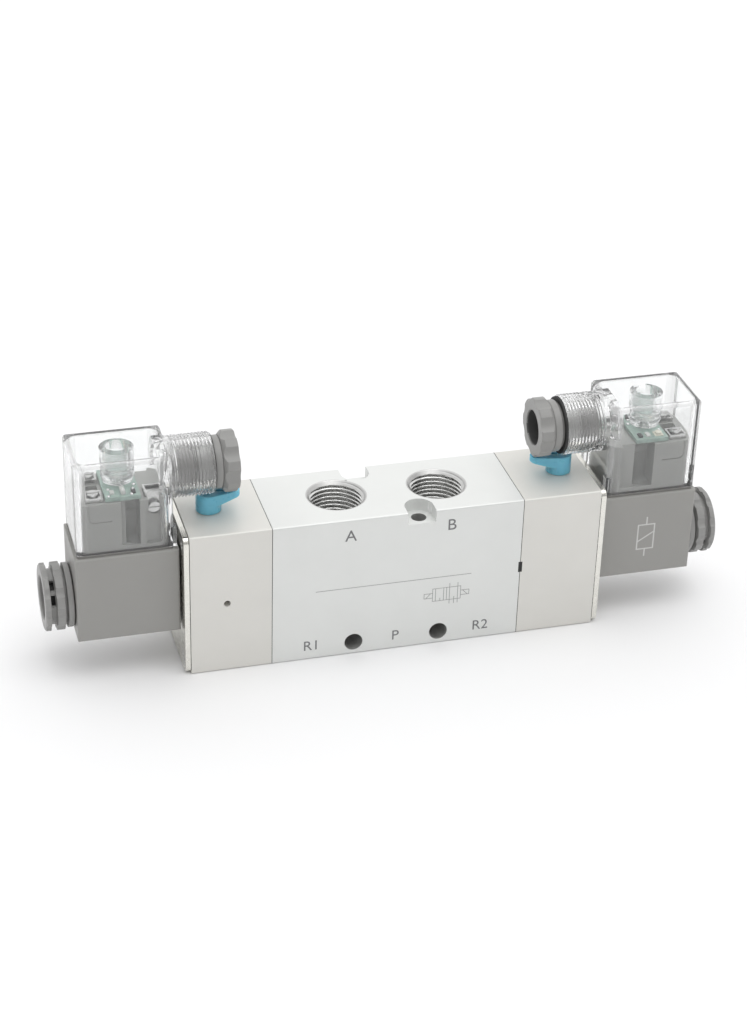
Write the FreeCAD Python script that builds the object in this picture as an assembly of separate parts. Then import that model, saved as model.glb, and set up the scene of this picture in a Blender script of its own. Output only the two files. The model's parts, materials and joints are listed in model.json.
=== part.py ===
import FreeCAD, Part
import math
import os

# Double-solenoid 5/2 directional valve.  Millimetres, +Z up.  The origin is the middle of the
# valve body's bottom face: X runs along the valve, Y from the marked front (-Y) to the back.
# The valve is the same when turned half a turn about Z, so each piece of a side is drawn once,
# with "outward" along +X.  The right side stays there and the left side is turned by 180 degrees.

V = FreeCAD.Vector
AXIS_X, AXIS_Y, AXIS_Z = V(1, 0, 0), V(0, 1, 0), V(0, 0, 1)
SIDES = {"left": 180.0, "right": 0.0}
SIGN = {"left": -1, "right": 1}

# Valve body
BODY_HALF, BODY_WIDTH, BODY_H = 37.5, 30.0, 46.0
HALF_W = BODY_WIDTH / 2
EDGE_ROUND = 0.7
SPOOL_Z = 23.0
BORE_R = 8.0
CHAMBER_R, CHAMBER_HALF = 10.0, 3.5
FIT = 0.05

# G 3/8 ports: 16.66 mm major and 14.95 mm minor diameter
PORT_R, PORT_MOUTH_R, PORT_MOUTH_DEPTH = 14.95 / 2, 8.65, 1.2
PORT_DEPTH, PASSAGE_R = 12.0, 6.0
OUTLET_X, EXHAUST_X = 15.2, 26.0

# Mounting holes
SIDE_HOLE_X, SIDE_HOLE_Z, SIDE_HOLE_R = 13.0, 4.2, 2.75
TOP_HOLE_X, TOP_HOLE_Y, TOP_HOLE_R = 6.65, 11.35, 2.25
POCKET_R, POCKET_FLOOR = 4.25, 42.2

# Spool and its seals
SPOOL_HALF, STROKE = 36.0, 4.5
SPOOL_REST = -STROKE / 2
SPOOL_NECK_R, SEAL_GROOVE_R, SEAL_WIDTH = 5.0, 6.3, 1.8
SEAL_AT = (11.25, 17.95, 33.0)
COLLAR_HALF = 1.5

# End block, gaskets and end plate
GASKET = 0.2
BLOCK_IN = BODY_HALF + GASKET
BLOCK_OUT = 61.5
PLATE_IN = BLOCK_OUT + GASKET
PLATE_OUT = PLATE_IN + 1.5
PLATE_HALF_W, PLATE_Z0, PLATE_Z1, PLATE_ROUND = 14.9, 0.4, 45.6, 2.0
SCREW_Y, SCREW_Z = 11.4, (4.2, 41.8)
M3_R, M3_CORE_R, M3_CLEAR_R, M3_HEAD_R = 1.5, 1.25, 1.6, 2.9
SCREW_DEPTH = 9.0
TAB_Z0, TAB_Z1, TAB_DEEP, TAB_REACH = 21.5, 25.0, 0.8, 0.5
DUCT_Y, DUCT_Z, DUCT_R = 11.5, 10.0, 1.0

# Pilot piston
PISTON_R, PISTON_THICK, CHAMBER_END = 11.0, 5.0, 49.0
STEM_R, STEM_LEN = 6.0, 4.7

# Manual override
LEVER_X, LEVER_R, LEVER_TIP_X = 53.0, 3.7, 43.9
LEVER_Z0, LEVER_TOP = BODY_H + 0.2, 51.9
SHAFT_R, SHAFT_Z0 = 2.4, 21.2
BREATHER_X, BREATHER_Z, BREATHER_R = 50.8, 22.9, 1.0

# Armature tube and plunger
RECESS_R, RECESS_FLOOR = 8.0, 58.5
TUBE_R, TUBE_BORE_R, STUB_R, STUB_END = 4.6, 3.9, 4.0, 99.0
CORE_FACE = 80.0
PLUNGER_R, PLUNGER_IN, PLUNGER_OUT = 3.83, 59.0, 76.0
SPRING_R, SPRING_WIRE, SPRING_IN = 1.5, 0.35, 70.0

# Coil
COIL_IN, COIL_OUT, COIL_HALF_W, COIL_Z0, COIL_Z1 = 63.6, 93.4, 11.0, 13.1, 40.4
COIL_BORE_R = 4.7
YOKE_IN, YOKE_OUT, YOKE_Z0, YOKE_Z1, YOKE_T, YOKE_HALF_W = 64.8, 92.2, 14.4, 32.0, 1.5, 8.5
BOBBIN_R, BOBBIN_FLANGE_R, BOBBIN_FLANGE_T, WINDING_R = 5.3, 7.0, 0.8, 6.9
BLADE_W, BLADE_T, BLADE_Z0, BLADE_Z1 = 4.8, 0.8, 36.0, 48.5
BLADES = ((87.0, -5.3), (87.0, 5.3), (70.0, 4.8))

# Coil nut
NUT_IN, NUT_OUT, NUT_R, NUT_HOLE_R = 93.7, 102.0, 9.9, 6.4
NUT_LOBES = 10
NUT_TURN = {"left": 0.0, "right": 12.0}

# Connector
SCREW_X = 79.0
SEAL_Z1 = 41.3
CAP_IN, CAP_OUT, CAP_HALF_W, CAP_TOP, CAP_WALL = 65.0, 92.8, 10.2, 70.0, 1.0
CAP_ROUND, ROOM_ROUND, CEILING_ROUND = 1.2, 3.0, 0.8
BOSS_R, BOSS_NECK_R, BOSS_STEP_Z, BOSS_Z0, BOSS_FLOOR = 4.9, 4.4, 66.0, 59.6, 61.0
BOSS_BORE_R, SHANK_R, SHANK_HOLE_R = 3.2, 1.4, 1.48
SHANK_Z0 = 35.0
INSERT_IN, INSERT_OUT, INSERT_HALF_W, INSERT_Z0, INSERT_Z1 = 66.3, 91.6, 9.0, 41.5, 56.8
INSERT_ROUND = 2.8
RECESS_Y, RECESS_Z0 = {"shallow": 7.6, "deep": 3.0}, 42.9
RECESS_X = {
    1: {"shallow": (74.3, 79.6), "deep": (74.3, 78.2)},
    -1: {"shallow": (69.3, 79.4), "deep": (73.7, 79.4)},
}
CHANNEL = (68.0, 72.6)
CHANNEL_Y, CHANNEL_Z0, CHANNEL_Z1 = 7.6, 42.6, 53.2
PARTING_Z, PARTING_DEPTH, PARTING_MARGIN, PARTING_X1, PARTING_TURN_R = 51.0, 0.25, 2.6, 88.8, 1.6
BOARD = (73.8, 83.8, -8.2, 8.2, 57.0, 58.2)
CAGE_X, CAGE_Y, CAGE_Z0, CAGE_Z1, CAGE_WALL = 5.2, 4.6, 50.8, 58.2, 0.6
POCKET_X, POCKET_HALF_W, POCKET_Z0 = (84.8, 89.4), 2.3, 51.4

# Cable gland
GLAND_Z, NECK_R, NECK_BORE_R, NECK_END = 61.4, 9.0, 7.0, 52.3
COLLAR_R, COLLAR_LEN, HEAD_LEN, HEAD_BEVEL, HEAD_SLOPE = 7.7, 2.2, 4.6, 0.3, 1.0
HEAD_LOBES, LOBE_R, LOBE_HALF_ANGLE, FLUTE_R = 8, 8.95, 8.5, 8.0
HEAD_TURN = {"left": 17.0, "right": 36.0}
GLAND_BORE_R, SHANK_END = 5.1, 56.8
GLAND_GAP = {"left": 0.3, "right": 1.5}
GROMMET_BORE_R, GROMMET_END, WASHER_R, WASHER_LEN = 3.2, 63.5, 8.5, 0.7


def along_x(radius, x0, x1, y=0.0, z=SPOOL_Z):
    return Part.makeCylinder(radius, x1 - x0, V(x0, y, z), AXIS_X)


def along_y(radius, y0, y1, x, z):
    return Part.makeCylinder(radius, y1 - y0, V(x, y0, z), AXIS_Y)


def along_z(radius, z0, z1, x, y=0.0):
    return Part.makeCylinder(radius, z1 - z0, V(x, y, z0), AXIS_Z)


def block(x0, x1, y0, y1, z0, z1):
    return Part.makeBox(x1 - x0, y1 - y0, z1 - z0, V(x0, y0, z0))


def bar(x0, x1, half_w, z0, z1, radius):
    """A box along X, centred on y = 0, whose four long edges are rounded."""
    solid = block(x0, x1, -half_w, half_w, z0, z1)
    edges = [e for e in solid.Edges if is_along(e, AXIS_X)]
    return solid.makeFillet(radius, edges)


def is_along(edge, axis):
    ends = edge.lastVertex().Point - edge.firstVertex().Point
    return ends.Length > 0 and abs(ends.normalize().dot(axis)) > 0.999


def lathe_x(outline, z=SPOOL_Z):
    """Turn an outline of (x, radius) points about the line along X at height z."""
    points = [V(x, 0, z + radius) for x, radius in outline]
    face = Part.Face(Part.makePolygon(points + points[:1]))
    return face.revolve(V(0, 0, z), AXIS_X, 360)


def lathe_z(outline, x, y=0.0):
    """Turn an outline of (radius, z) points about the vertical line at x, y."""
    points = [V(x + radius, y, z) for radius, z in outline]
    face = Part.Face(Part.makePolygon(points + points[:1]))
    return face.revolve(V(x, y, 0), AXIS_Z, 360)


def ring_x(inner, outer, x0, x1, z=SPOOL_Z):
    return along_x(outer, x0, x1, 0, z).cut(along_x(inner, x0, x1, 0, z))


def seal_ring(inner, outer, centre, width):
    """A seal whose outer edge is rounded off by small chamfers."""
    half, bevel = width / 2, width / 5
    return lathe_x([
        (centre - half, inner), (centre - half, outer - bevel), (centre - half + bevel, outer),
        (centre + half - bevel, outer), (centre + half, outer - bevel), (centre + half, inner),
    ])


def cut_all(solid, tools):
    for tool in tools:
        solid = solid.cut(tool)
    return solid


def join(solids):
    whole = solids[0]
    for solid in solids[1:]:
        whole = whole.fuse(solid)
    return whole.removeSplitter()


def plate_screw_places():
    return [(y, z) for z in SCREW_Z for y in (-SCREW_Y, SCREW_Y)]


# ---------------------------------------------------------------- valve body and spool

def port(x, top):
    """The space of one G 3/8 port: mouth, tapped bore and passage to the spool bore."""
    mouth, bottom, inward = (BODY_H, BODY_H - PORT_DEPTH, -1) if top else (0.0, PORT_DEPTH, 1)
    outline = [
        (0, mouth), (PORT_MOUTH_R, mouth), (PORT_R, mouth + inward * PORT_MOUTH_DEPTH),
        (PORT_R, bottom), (PASSAGE_R, bottom), (PASSAGE_R, bottom + inward * 4.0),
        (0, bottom + inward * 4.0),
    ]
    return lathe_z(outline, x)


def body_side_spaces():
    """The spaces on the right half of the body: the left half has them turned half round."""
    top_pocket = along_z(POCKET_R, POCKET_FLOOR, BODY_H, TOP_HOLE_X, -TOP_HOLE_Y)
    open_front = block(
        TOP_HOLE_X - POCKET_R, TOP_HOLE_X + POCKET_R, -HALF_W, -TOP_HOLE_Y, POCKET_FLOOR, BODY_H)
    spaces = [
        port(OUTLET_X, True),
        port(EXHAUST_X, False),
        along_x(CHAMBER_R, OUTLET_X - CHAMBER_HALF, OUTLET_X + CHAMBER_HALF),
        along_x(CHAMBER_R, EXHAUST_X - CHAMBER_HALF, EXHAUST_X + CHAMBER_HALF),
        along_y(SIDE_HOLE_R, -HALF_W, HALF_W, SIDE_HOLE_X, SIDE_HOLE_Z),
        top_pocket,
        open_front,
        along_z(TOP_HOLE_R, 0, POCKET_FLOOR, TOP_HOLE_X, -TOP_HOLE_Y),
        along_x(DUCT_R, 0.5, BODY_HALF, DUCT_Y, DUCT_Z),
        along_y(DUCT_R, 5.0, DUCT_Y, 1.5, DUCT_Z),
        block(BODY_HALF - TAB_REACH, BODY_HALF, -HALF_W, -HALF_W + TAB_DEEP, TAB_Z0, TAB_Z1),
    ]
    for y, z in plate_screw_places():
        spaces.append(along_x(M3_CORE_R, BODY_HALF - SCREW_DEPTH - 1, BODY_HALF, y, z))
    return spaces


def valve_body():
    solid = bar(-BODY_HALF, BODY_HALF, HALF_W, 0, BODY_H, EDGE_ROUND)
    centre_spaces = [
        along_x(BORE_R, -BODY_HALF, BODY_HALF),
        along_x(CHAMBER_R, -CHAMBER_HALF, CHAMBER_HALF),
        port(0.0, False),
    ]
    solid = cut_all(solid, centre_spaces)
    for turn in SIDES.values():
        solid = cut_all(solid, [turned(space, turn) for space in body_side_spaces()])
    return solid


def seal_centres():
    return sorted([-x for x in SEAL_AT] + list(SEAL_AT))


def spool():
    """Turned spool: full at its two ends, with a collar at each seal and thin necks between."""
    guide = SPOOL_HALF - SEAL_AT[-1] + COLLAR_HALF
    r = BORE_R - FIT
    ends = [along_x(r, -SPOOL_HALF, -SPOOL_HALF + guide), along_x(r, SPOOL_HALF - guide, SPOOL_HALF)]
    collars = [along_x(r, x - COLLAR_HALF, x + COLLAR_HALF) for x in seal_centres()[1:-1]]
    solid = join([along_x(SPOOL_NECK_R, -SPOOL_HALF, SPOOL_HALF)] + ends + collars)
    for x in seal_centres():
        solid = solid.cut(ring_x(SEAL_GROOVE_R, BORE_R, x - SEAL_WIDTH / 2, x + SEAL_WIDTH / 2))
    solid.translate(V(SPOOL_REST, 0, 0))
    return solid


def spool_seals():
    rings = [seal_ring(SEAL_GROOVE_R, BORE_R - 0.02, x, SEAL_WIDTH) for x in seal_centres()]
    seals = Part.makeCompound(rings)
    seals.translate(V(SPOOL_REST, 0, 0))
    return seals


# ---------------------------------------------------------------- end block and its pilot

def piston_start(side):
    """How far out the inner end of the piston's stem is: it follows the end of the spool."""
    return SPOOL_HALF + SIGN[side] * SPOOL_REST + FIT


def body_gasket(side):
    sheet = block(BODY_HALF, BLOCK_IN, -HALF_W + 0.2, HALF_W - 0.2, 0.2, BODY_H - 0.2)
    holes = [along_x(BORE_R, BODY_HALF, BLOCK_IN), along_x(1.2, BODY_HALF, BLOCK_IN, DUCT_Y, DUCT_Z)]
    holes += [along_x(M3_CLEAR_R, BODY_HALF, BLOCK_IN, y, z) for y, z in plate_screw_places()]
    tab = block(BODY_HALF - TAB_REACH, BLOCK_IN + TAB_REACH,
                -HALF_W, -HALF_W + TAB_DEEP, TAB_Z0, TAB_Z1)
    return join([cut_all(sheet, holes), tab])


def end_block(side):
    solid = bar(BLOCK_IN, BLOCK_OUT, HALF_W, 0, BODY_H, EDGE_ROUND)
    orifice_r, seat_r, seat_h = 0.6, 1.8, 0.45
    riser_y, riser_z, riser_x = 4.5, 18.0, RECESS_FLOOR - 1.5
    slope = V(0, riser_y - DUCT_Y, riser_z - DUCT_Z)
    spaces = [
        along_x(PISTON_R, BLOCK_IN, CHAMBER_END),
        along_x(RECESS_R, RECESS_FLOOR, BLOCK_OUT),
        along_x(DUCT_R, BLOCK_IN, riser_x, DUCT_Y, DUCT_Z),
        Part.makeCylinder(0.8, slope.Length, V(riser_x, DUCT_Y, DUCT_Z), slope),
        along_x(0.8, riser_x, RECESS_FLOOR, riser_y, riser_z),
        along_z(SHAFT_R + FIT, SHAFT_Z0 - 0.2, BODY_H, LEVER_X),
        along_y(BREATHER_R, 0.0, HALF_W, BREATHER_X, BREATHER_Z),
        block(BLOCK_IN, BLOCK_IN + TAB_REACH, -HALF_W, -HALF_W + TAB_DEEP, TAB_Z0, TAB_Z1),
    ]
    spaces += [along_x(M3_CLEAR_R, BLOCK_IN, BLOCK_OUT, y, z) for y, z in plate_screw_places()]
    solid = cut_all(solid, spaces)
    seat = along_x(seat_r, RECESS_FLOOR - 0.3, RECESS_FLOOR + seat_h)
    return join([solid, seat]).cut(along_x(orifice_r, CHAMBER_END - 1, RECESS_FLOOR + 1))


def piston(side):
    x = piston_start(side)
    disc = x + STEM_LEN
    groove = disc + PISTON_THICK / 2
    r = PISTON_R - 0.08
    solid = lathe_x([
        (x, 0), (x, STEM_R - 0.5), (x + 0.5, STEM_R), (disc, STEM_R), (disc, r),
        (groove - 1, r), (groove - 1, 9.2), (groove + 1, 9.2), (groove + 1, r),
        (disc + PISTON_THICK - 0.4, r), (disc + PISTON_THICK, r - 0.4), (disc + PISTON_THICK, 0),
    ])
    return solid


def piston_seal(side):
    centre = piston_start(side) + STEM_LEN + PISTON_THICK / 2
    return seal_ring(9.2, PISTON_R - 0.03, centre, 1.9)


def plate_gasket(side):
    sheet = bar(BLOCK_OUT, PLATE_IN, PLATE_HALF_W - 0.3, PLATE_Z0 + 0.3, PLATE_Z1 - 0.3, 1.6)
    holes = [along_x(RECESS_R, BLOCK_OUT, PLATE_IN)]
    holes += [along_x(M3_CLEAR_R, BLOCK_OUT, PLATE_IN, y, z) for y, z in plate_screw_places()]
    return cut_all(sheet, holes)


def countersink(y, z, radius, depth):
    return Part.makeCone(radius, radius - depth, depth, V(PLATE_OUT, y, z), V(-1, 0, 0))


def end_plate(side):
    sheet = bar(PLATE_IN, PLATE_OUT, PLATE_HALF_W, PLATE_Z0, PLATE_Z1, PLATE_ROUND)
    holes = [along_x(TUBE_R + FIT, PLATE_IN, PLATE_OUT)]
    for y, z in plate_screw_places():
        holes.append(along_x(M3_CLEAR_R, PLATE_IN, PLATE_OUT, y, z))
        holes.append(countersink(y, z, M3_HEAD_R + 0.1, 1.4))
    return cut_all(sheet, holes)


def plate_screws(side):
    screws = []
    for y, z in plate_screw_places():
        head = countersink(y, z, M3_HEAD_R, 1.35)
        shank = along_x(M3_R, BLOCK_IN, PLATE_OUT - 0.2, y, z)
        thread = along_x(M3_CORE_R, BODY_HALF - SCREW_DEPTH, BLOCK_IN, y, z)
        slots = [
            block(PLATE_OUT - 0.8, PLATE_OUT, y - 1.5, y + 1.5, z - 0.3, z + 0.3),
            block(PLATE_OUT - 0.8, PLATE_OUT, y - 0.3, y + 0.3, z - 1.5, z + 1.5),
        ]
        screws.append(cut_all(join([head, shank, thread]), slots))
    return Part.makeCompound(screws)


def override_lever(side):
    """Thumb lever with its shaft: the handle points at the middle of the valve."""
    handle_under, tip_under, tip_half_w = 48.7, 50.3, 2.0
    base = along_z(LEVER_R, LEVER_Z0, LEVER_TOP, LEVER_X)
    base = base.makeChamfer(0.3, [base.Edges[0]])
    tip_x = LEVER_TIP_X + tip_half_w
    plan = hull_plan(LEVER_X, LEVER_R - 0.1, tip_x, tip_half_w)
    handle = Part.Face(plan).extrude(V(0, 0, LEVER_TOP - handle_under))
    handle.translate(V(0, 0, handle_under))
    wedge_points = [V(LEVER_X - 3, -9, 40), V(LEVER_X - 3, -9, handle_under),
                    V(LEVER_TIP_X - 1, -9, tip_under + 0.2), V(LEVER_TIP_X - 1, -9, 40)]
    wedge = Part.Face(Part.makePolygon(wedge_points + wedge_points[:1])).extrude(V(0, 18, 0))
    slot = block(LEVER_X - 5.5, LEVER_X + 2.6, -0.5, 0.5, LEVER_TOP - 0.8, LEVER_TOP)
    shaft = along_z(SHAFT_R, SHAFT_Z0, LEVER_Z0 + 1, LEVER_X)
    solid = join([base, handle.cut(wedge), shaft]).cut(slot)
    groove = along_z(SHAFT_R, 41.0, 42.6, LEVER_X).cut(along_z(1.6, 41.0, 42.6, LEVER_X))
    cross_hole = along_x(0.7, LEVER_X - 3, LEVER_X + 3)
    return cut_all(solid, [groove, cross_hole])


def hull_plan(x0, r0, x1, r1):
    """A flat outline round two circles on y = 0: a wide one at x0 and a narrow one at x1 < x0."""
    lean = math.asin((r0 - r1) / (x0 - x1))
    c, s = math.cos(lean), math.sin(lean)
    wide = [V(x0 - r0 * s, side * r0 * c, 0) for side in (1, -1)]
    narrow = [V(x1 - r1 * s, side * r1 * c, 0) for side in (1, -1)]
    return Part.Wire([
        Part.Arc(wide[0], V(x0 + r0, 0, 0), wide[1]).toShape(),
        Part.LineSegment(wide[1], narrow[1]).toShape(),
        Part.Arc(narrow[1], V(x1 - r1, 0, 0), narrow[0]).toShape(),
        Part.LineSegment(narrow[0], wide[0]).toShape(),
    ])


def lever_seal(side):
    z0, z1, bevel, r = 41.0, 42.6, 0.4, SHAFT_R + FIT - 0.01
    return lathe_z([(1.6, z0), (r - bevel, z0), (r, z0 + bevel), (r, z1 - bevel),
                    (r - bevel, z1), (1.6, z1)], LEVER_X)


# ---------------------------------------------------------------- armature tube and coil

def armature_tube(side):
    """Flange, thin tube and fixed core in one, with a threaded stub for the coil nut."""
    flange_in = RECESS_FLOOR + 0.9
    solid = lathe_x([
        (flange_in, TUBE_BORE_R), (flange_in, RECESS_R - 0.1), (BLOCK_OUT + 0.1, RECESS_R - 0.1),
        (BLOCK_OUT + 0.1, TUBE_R), (COIL_OUT, TUBE_R), (COIL_OUT, STUB_R),
        (STUB_END - 0.5, STUB_R), (STUB_END, STUB_R - 0.5), (STUB_END, 0),
        (CORE_FACE, 0), (CORE_FACE, TUBE_BORE_R),
    ])
    slot = block(STUB_END - 1.2, STUB_END, -STUB_R, STUB_R, SPOOL_Z - 0.5, SPOOL_Z + 0.5)
    return solid.cut(slot)


def tube_seal(side):
    return ring_x(6.0, 7.6, RECESS_FLOOR, RECESS_FLOOR + 0.9)


def plunger(side):
    solid = lathe_x([
        (PLUNGER_IN, 0), (PLUNGER_IN, 3.0), (PLUNGER_IN + 0.8, PLUNGER_R),
        (PLUNGER_OUT, PLUNGER_R), (PLUNGER_OUT, SPRING_R + 0.6), (SPRING_IN, SPRING_R + 0.6),
        (SPRING_IN, 0),
    ])
    grooves = [block(PLUNGER_IN + 3, PLUNGER_OUT, s * 3.5 - 0.4, s * 3.5 + 0.4,
                     SPOOL_Z - 0.5, SPOOL_Z + 0.5) for s in (-1, 1)]
    return cut_all(solid, grooves)


def plunger_spring(side):
    pitch = (CORE_FACE - SPRING_IN - 2 * SPRING_WIRE) / 6
    x0 = SPRING_IN + SPRING_WIRE
    helix = Part.makeHelix(pitch, CORE_FACE - SPRING_WIRE - x0, SPRING_R)
    start = V(SPRING_R, 0, 0)
    section = Part.Wire(Part.Circle(start, V(0, 1, 0), SPRING_WIRE).toShape())
    coil = Part.Wire(helix).makePipeShell([section], True, True)
    coil.rotate(V(0, 0, 0), AXIS_Y, 90)
    coil.translate(V(x0, 0, SPOOL_Z))
    return coil


def coil_yoke(side):
    outer = block(YOKE_IN, YOKE_OUT, -YOKE_HALF_W, YOKE_HALF_W, YOKE_Z0, YOKE_Z1)
    inner = block(YOKE_IN + YOKE_T, YOKE_OUT - YOKE_T, -YOKE_HALF_W, YOKE_HALF_W,
                  YOKE_Z0 + YOKE_T, YOKE_Z1 - YOKE_T)
    return cut_all(outer, [inner, along_x(COIL_BORE_R, YOKE_IN, YOKE_OUT)])


def bobbin_span():
    return YOKE_IN + YOKE_T, YOKE_OUT - YOKE_T


def coil_bobbin(side):
    x0, x1 = bobbin_span()
    t = BOBBIN_FLANGE_T
    return lathe_x([
        (x0, COIL_BORE_R), (x0, BOBBIN_FLANGE_R), (x0 + t, BOBBIN_FLANGE_R), (x0 + t, BOBBIN_R),
        (x1 - t, BOBBIN_R), (x1 - t, BOBBIN_FLANGE_R), (x1, BOBBIN_FLANGE_R), (x1, COIL_BORE_R),
    ])


def coil_winding(side):
    x0, x1 = bobbin_span()
    return ring_x(BOBBIN_R, WINDING_R, x0 + BOBBIN_FLANGE_T, x1 - BOBBIN_FLANGE_T)


def blade(x, y, grow=0.0, z0=BLADE_Z0, z1=BLADE_Z1):
    half_w, half_t = BLADE_W / 2 + grow, BLADE_T / 2 + grow
    return block(x - half_t, x + half_t, y - half_w, y + half_w, z0, z1)


def coil_terminals(side):
    blades = []
    for x, y in BLADES:
        solid = blade(x, y)
        top = [e for e in solid.Edges if e.BoundBox.ZMin > BLADE_Z1 - 0.1 and is_along(e, AXIS_Y)]
        blades.append(solid.makeChamfer(0.25, top))
    return Part.makeCompound(blades)


def coil_case(side):
    solid = block(COIL_IN, COIL_OUT, -COIL_HALF_W, COIL_HALF_W, COIL_Z0, COIL_Z1)
    solid = solid.makeFillet(0.8, [e for e in solid.Edges if not is_along(e, AXIS_Y)])
    x0, x1 = bobbin_span()
    spaces = [
        along_x(COIL_BORE_R, COIL_IN, COIL_OUT),
        coil_yoke(side),
        along_x(BOBBIN_FLANGE_R, x0, x1),
        along_z(SHANK_HOLE_R, SHANK_Z0 - 0.5, COIL_Z1, SCREW_X),
    ]
    spaces += [blade(x, y) for x, y in BLADES]
    return cut_all(solid, spaces)


def coil_nut(side):
    """Knurled plastic nut: a plain ring, a scalloped disc, a windowed neck and a lobed rim."""
    outline = [
        (NUT_IN, STUB_R + 0.08), (NUT_IN, 9.1), (NUT_IN + 0.3, 9.4), (NUT_IN + 1.7, 9.4),
        (NUT_IN + 2.0, 7.9), (NUT_IN + 2.4, 7.9), (NUT_IN + 2.7, NUT_R), (NUT_IN + 4.9, NUT_R),
        (NUT_IN + 5.1, 8.1), (NUT_IN + 6.5, 8.1), (NUT_IN + 6.7, NUT_R), (NUT_OUT - 0.4, NUT_R),
        (NUT_OUT, NUT_R - 0.5), (NUT_OUT, NUT_HOLE_R + 0.3), (NUT_OUT - 0.4, NUT_HOLE_R),
        (NUT_IN + 3.0, NUT_HOLE_R), (NUT_IN + 3.0, STUB_R + 0.08),
    ]
    solid = lathe_x(outline)
    scallop_r, scallop_at = 2.6, NUT_R + 2.05
    for k in range(NUT_LOBES):
        a = 2 * math.pi * k / NUT_LOBES
        y, z = scallop_at * math.cos(a), SPOOL_Z + scallop_at * math.sin(a)
        solid = solid.cut(along_x(scallop_r, NUT_IN + 2.4, NUT_OUT, y, z))
    for angle in (-22, -54, 158, 126):
        window = block(NUT_IN + 5.15, NUT_IN + 6.45, 5.5, 9.0, -1.5, 1.5)
        window.rotate(V(0, 0, 0), AXIS_X, 180 - angle)
        window.translate(V(0, 0, SPOOL_Z))
        solid = solid.cut(window)
    return solid.rotated(V(0, 0, SPOOL_Z), AXIS_X, NUT_TURN[side])


# ---------------------------------------------------------------- plug connector

def connector_gasket(side):
    sheet = block(CAP_IN + 0.2, CAP_OUT - 0.2, -CAP_HALF_W + 0.2, CAP_HALF_W - 0.2,
                  COIL_Z1, SEAL_Z1)
    corners = [e for e in sheet.Edges if is_along(e, AXIS_Z)]
    sheet = sheet.makeFillet(1.0, corners)
    holes = [along_z(1.8, COIL_Z1, SEAL_Z1, SCREW_X)]
    holes += [blade(x, y, 0.1) for x, y in BLADES]
    return cut_all(sheet, holes)


def connector_cap(side):
    """Clear cap: an open-bottomed box with a screw boss and the threaded neck of the gland."""
    box = block(CAP_IN, CAP_OUT, -CAP_HALF_W, CAP_HALF_W, SEAL_Z1, CAP_TOP)
    box = box.makeFillet(CAP_ROUND, [e for e in box.Edges
                                     if is_along(e, AXIS_Z) or e.BoundBox.ZMin > CAP_TOP - 0.1])
    w = CAP_WALL
    room = block(CAP_IN + w, CAP_OUT - w, -CAP_HALF_W + w, CAP_HALF_W - w, SEAL_Z1, CAP_TOP - w)
    room = room.makeFillet(ROOM_ROUND, [e for e in room.Edges if is_along(e, AXIS_Z)])
    room = room.makeFillet(CEILING_ROUND, [e for e in room.Edges
                                           if e.BoundBox.ZMin > CAP_TOP - w - 0.1])
    neck = along_x(NECK_R, NECK_END, CAP_IN + w, 0, GLAND_Z)
    neck = neck.makeChamfer(0.5, [e for e in neck.Edges if e.BoundBox.XMax < NECK_END + 0.1])
    hood = along_x(NECK_R - 0.3, CAP_IN, CAP_IN + 3.5, 0, GLAND_Z).common(
        block(CAP_IN, CAP_IN + 4, -9, 9, 59, CAP_TOP))
    lugs = [block(CAP_IN - 0.8, CAP_IN + w, min(s * 8.0, s * CAP_HALF_W),
                  max(s * 8.0, s * CAP_HALF_W), SEAL_Z1, 47.5) for s in (-1, 1)]
    boss = lathe_z([(0, BOSS_Z0), (BOSS_NECK_R, BOSS_Z0), (BOSS_NECK_R, BOSS_STEP_Z - 0.4),
                    (BOSS_R, BOSS_STEP_Z), (BOSS_R, CAP_TOP - w / 2), (0, CAP_TOP - w / 2)],
                   SCREW_X)
    solid = join([box.cut(room), neck, hood, boss] + lugs)
    return cut_all(solid, [
        along_x(NECK_BORE_R, NECK_END, CAP_IN + 3.5, 0, GLAND_Z),
        along_z(BOSS_BORE_R, BOSS_FLOOR, CAP_TOP, SCREW_X),
        along_z(SHANK_HOLE_R, BOSS_Z0, BOSS_FLOOR, SCREW_X),
    ])


def cage_box(x, y, grow=0.0):
    return block(x - CAGE_X / 2 - grow, x + CAGE_X / 2 + grow, y - CAGE_Y / 2 - grow,
                 y + CAGE_Y / 2 + grow, CAGE_Z0 - grow, INSERT_Z1)


def flank(side, x0, x1, y, z0, z1):
    """A space cut into the front or back flank of the insert, as deep as y."""
    y0, y1 = sorted((side * y, side * INSERT_HALF_W))
    return block(x0, x1, y0, y1, z0, z1)


def parting_groove(side, x0):
    """A fine groove along a flank of the insert that turns up to the top at its outer end."""
    turn_x, turn_z = PARTING_X1 - PARTING_TURN_R, PARTING_Z + PARTING_TURN_R
    y = INSERT_HALF_W - PARTING_DEPTH
    y0, y1 = sorted((side * y, side * INSERT_HALF_W))
    bend = along_y(PARTING_TURN_R, y0, y1, turn_x, turn_z)
    bend = bend.cut(along_y(PARTING_TURN_R - PARTING_DEPTH, y0, y1, turn_x, turn_z))
    return [
        flank(side, x0, turn_x, y, PARTING_Z, PARTING_Z + PARTING_DEPTH),
        bend.common(flank(side, turn_x, PARTING_X1, y, PARTING_Z, turn_z)),
        flank(side, PARTING_X1 - PARTING_DEPTH, PARTING_X1, y, turn_z, INSERT_Z1),
    ]


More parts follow.
